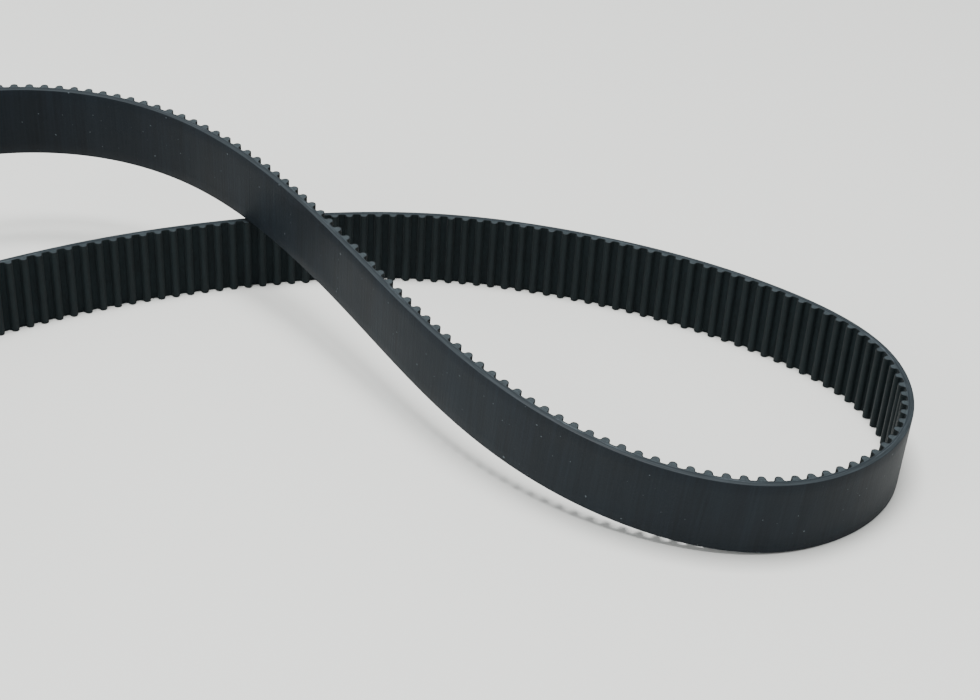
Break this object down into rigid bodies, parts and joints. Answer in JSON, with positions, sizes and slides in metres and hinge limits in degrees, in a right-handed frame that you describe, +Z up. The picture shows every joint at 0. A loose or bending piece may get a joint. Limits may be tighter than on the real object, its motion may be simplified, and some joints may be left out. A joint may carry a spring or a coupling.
{
  "type": "timing belt",
  "caption": "Endless rubber timing belt with round teeth inside, standing on its edge and folded over itself into two loops.",
  "frame": {"origin": "on the floor, under the middle of the belt's overall box", "axes": "+Z up across the belt's width, +X along the laid belt towards its larger loop, +Y away from the strand that rises"},
  "size_m": [0.2468, 0.1692, 0.0349],
  "materials": {
    "backing_rubber": "ground matt rubber",
    "glass_cord": "twisted glass cords in rubber",
    "tooth_rubber": "moulded rubber",
    "nylon_facing": "fine woven nylon, rubber-filled"
  },
  "bodies": {
    "stretch_01": {"backing_01": "backing_rubber", "cord_layer_01": "glass_cord", "tooth_rubber_01": "tooth_rubber", "tooth_facing_01": "nylon_facing"},
    "stretch_02": {"backing_02": "backing_rubber", "cord_layer_02": "glass_cord", "tooth_rubber_02": "tooth_rubber", "tooth_facing_02": "nylon_facing"},
    "stretch_03": {"backing_03": "backing_rubber", "cord_layer_03": "glass_cord", "tooth_rubber_03": "tooth_rubber", "tooth_facing_03": "nylon_facing"},
    "stretch_04": {"backing_04": "backing_rubber", "cord_layer_04": "glass_cord", "tooth_rubber_04": "tooth_rubber", "tooth_facing_04": "nylon_facing"},
    "stretch_05": {"backing_05": "backing_rubber", "cord_layer_05": "glass_cord", "tooth_rubber_05": "tooth_rubber", "tooth_facing_05": "nylon_facing"},
    "stretch_06": {"backing_06": "backing_rubber", "cord_layer_06": "glass_cord", "tooth_rubber_06": "tooth_rubber", "tooth_facing_06": "nylon_facing"},
    "stretch_07": {"backing_07": "backing_rubber", "cord_layer_07": "glass_cord", "tooth_rubber_07": "tooth_rubber", "tooth_facing_07": "nylon_facing"},
    "stretch_08": {"backing_08": "backing_rubber", "cord_layer_08": "glass_cord", "tooth_rubber_08": "tooth_rubber", "tooth_facing_08": "nylon_facing"},
    "stretch_09": {"backing_09": "backing_rubber", "cord_layer_09": "glass_cord", "tooth_rubber_09": "tooth_rubber", "tooth_facing_09": "nylon_facing"},
    "stretch_10": {"backing_10": "backing_rubber", "cord_layer_10": "glass_cord", "tooth_rubber_10": "tooth_rubber", "tooth_facing_10": "nylon_facing"},
    "stretch_11": {"backing_11": "backing_rubber", "cord_layer_11": "glass_cord", "tooth_rubber_11": "tooth_rubber", "tooth_facing_11": "nylon_facing"},
    "stretch_12": {"backing_12": "backing_rubber", "cord_layer_12": "glass_cord", "tooth_rubber_12": "tooth_rubber", "tooth_facing_12": "nylon_facing"},
    "stretch_13": {"backing_13": "backing_rubber", "cord_layer_13": "glass_cord", "tooth_rubber_13": "tooth_rubber", "tooth_facing_13": "nylon_facing"},
    "stretch_14": {"backing_14": "backing_rubber", "cord_layer_14": "glass_cord", "tooth_rubber_14": "tooth_rubber", "tooth_facing_14": "nylon_facing"},
    "stretch_15": {"backing_15": "backing_rubber", "cord_layer_15": "glass_cord", "tooth_rubber_15": "tooth_rubber", "tooth_facing_15": "nylon_facing"}
  },
  "joints": [
    {"name": "bend_12_13", "type": "hinge", "parent": "stretch_12", "child": "stretch_13", "pos_m": [-0.07207, 0.02096, 0.00765], "axis": [-0.0037, 0.005, 1], "range_deg": [-7.6, 7.6]},
    {"name": "bend_13_14", "type": "hinge", "parent": "stretch_13", "child": "stretch_14", "pos_m": [-0.10941, -0.01792, 0.00776], "axis": [-0.0183, 0.0266, 0.9995], "range_deg": [-2.4, 2.4]},
    {"name": "bend_14_15", "type": "hinge", "parent": "stretch_14", "child": "stretch_15", "pos_m": [-0.122, -0.05699, 0.00908], "axis": [-0.0441, 0.0386, 0.9983], "range_deg": [-2.4, 2.4]},
    {"name": "bend_11_12", "type": "hinge", "parent": "stretch_12", "child": "stretch_11", "pos_m": [-0.00206, 0.06612, 0.00765], "axis": [0, 0, 1], "range_deg": [-3.1, 3.1]},
    {"name": "bend_10_11", "type": "hinge", "parent": "stretch_11", "child": "stretch_10", "pos_m": [0.07433, 0.06608, 0.00765], "axis": [0, 0, 1], "range_deg": [-1.6, 1.6]},
    {"name": "bend_09_10", "type": "hinge", "parent": "stretch_10", "child": "stretch_09", "pos_m": [0.11058, 0.04545, 0.00764], "axis": [0.0013, 0.0007, 1], "range_deg": [-4, 4]},
    {"name": "bend_08_09", "type": "hinge", "parent": "stretch_09", "child": "stretch_08", "pos_m": [0.12169, 0.01303, 0.00766], "axis": [0.019, -0.0129, 0.9997], "range_deg": [-9, 9], "stiffness_Nm_per_rad": 0.05},
    {"name": "bend_07_08", "type": "hinge", "parent": "stretch_08", "child": "stretch_07", "pos_m": [0.09759, -0.01121, 0.00786], "axis": [0.0498, -0.0722, 0.9961], "range_deg": [-8, 8]},
    {"name": "bend_06_07", "type": "hinge", "parent": "stretch_07", "child": "stretch_06", "pos_m": [0.04441, 0.00999, 0.01379], "axis": [0.0464, -0.1308, 0.9903], "range_deg": [-8.4, 8.4]},
    {"name": "bend_05_06", "type": "hinge", "parent": "stretch_06", "child": "stretch_05", "pos_m": [0.00664, 0.05591, 0.0216], "axis": [0.0276, -0.1431, 0.9893], "range_deg": [-5.9, 5.9]},
    {"name": "bend_04_05", "type": "hinge", "parent": "stretch_05", "child": "stretch_04", "pos_m": [-0.04485, 0.08201, 0.02671], "axis": [0.0402, -0.1091, 0.9932], "range_deg": [-1.1, 1.1]},
    {"name": "bend_03_04", "type": "hinge", "parent": "stretch_04", "child": "stretch_03", "pos_m": [-0.08607, 0.04427, 0.02606], "axis": [0.0687, -0.0725, 0.995], "range_deg": [-4.5, 4.5]},
    {"name": "bend_02_03", "type": "hinge", "parent": "stretch_03", "child": "stretch_02", "pos_m": [-0.07377, -0.01316, 0.02106], "axis": [0.0677, -0.0868, 0.9939], "range_deg": [-7, 7]},
    {"name": "bend_01_02", "type": "hinge", "parent": "stretch_02", "child": "stretch_01", "pos_m": [-0.06437, -0.05882, 0.01575], "axis": [-0.0114, -0.0909, 0.9958], "range_deg": [-3.3, 3.3]}
  ],
  "couplings": [
    {"joint": "bend_12_13", "follows": "bend_08_09", "ratio": -0.8231},
    {"joint": "bend_13_14", "follows": "bend_08_09", "ratio": 0.2481},
    {"joint": "bend_14_15", "follows": "bend_08_09", "ratio": 0.2527},
    {"joint": "bend_11_12", "follows": "bend_08_09", "ratio": -0.3284},
    {"joint": "bend_10_11", "follows": "bend_08_09", "ratio": -0.1607},
    {"joint": "bend_09_10", "follows": "bend_08_09", "ratio": -0.4302},
    {"joint": "bend_07_08", "follows": "bend_08_09", "ratio": -0.8713},
    {"joint": "bend_06_07", "follows": "bend_08_09", "ratio": 0.9211},
    {"joint": "bend_05_06", "follows": "bend_08_09", "ratio": -0.6364},
    {"joint": "bend_04_05", "follows": "bend_08_09", "ratio": 0.1071},
    {"joint": "bend_03_04", "follows": "bend_08_09", "ratio": 0.4864},
    {"joint": "bend_02_03", "follows": "bend_08_09", "ratio": -0.765},
    {"joint": "bend_01_02", "follows": "bend_08_09", "ratio": 0.3531}
  ]
}
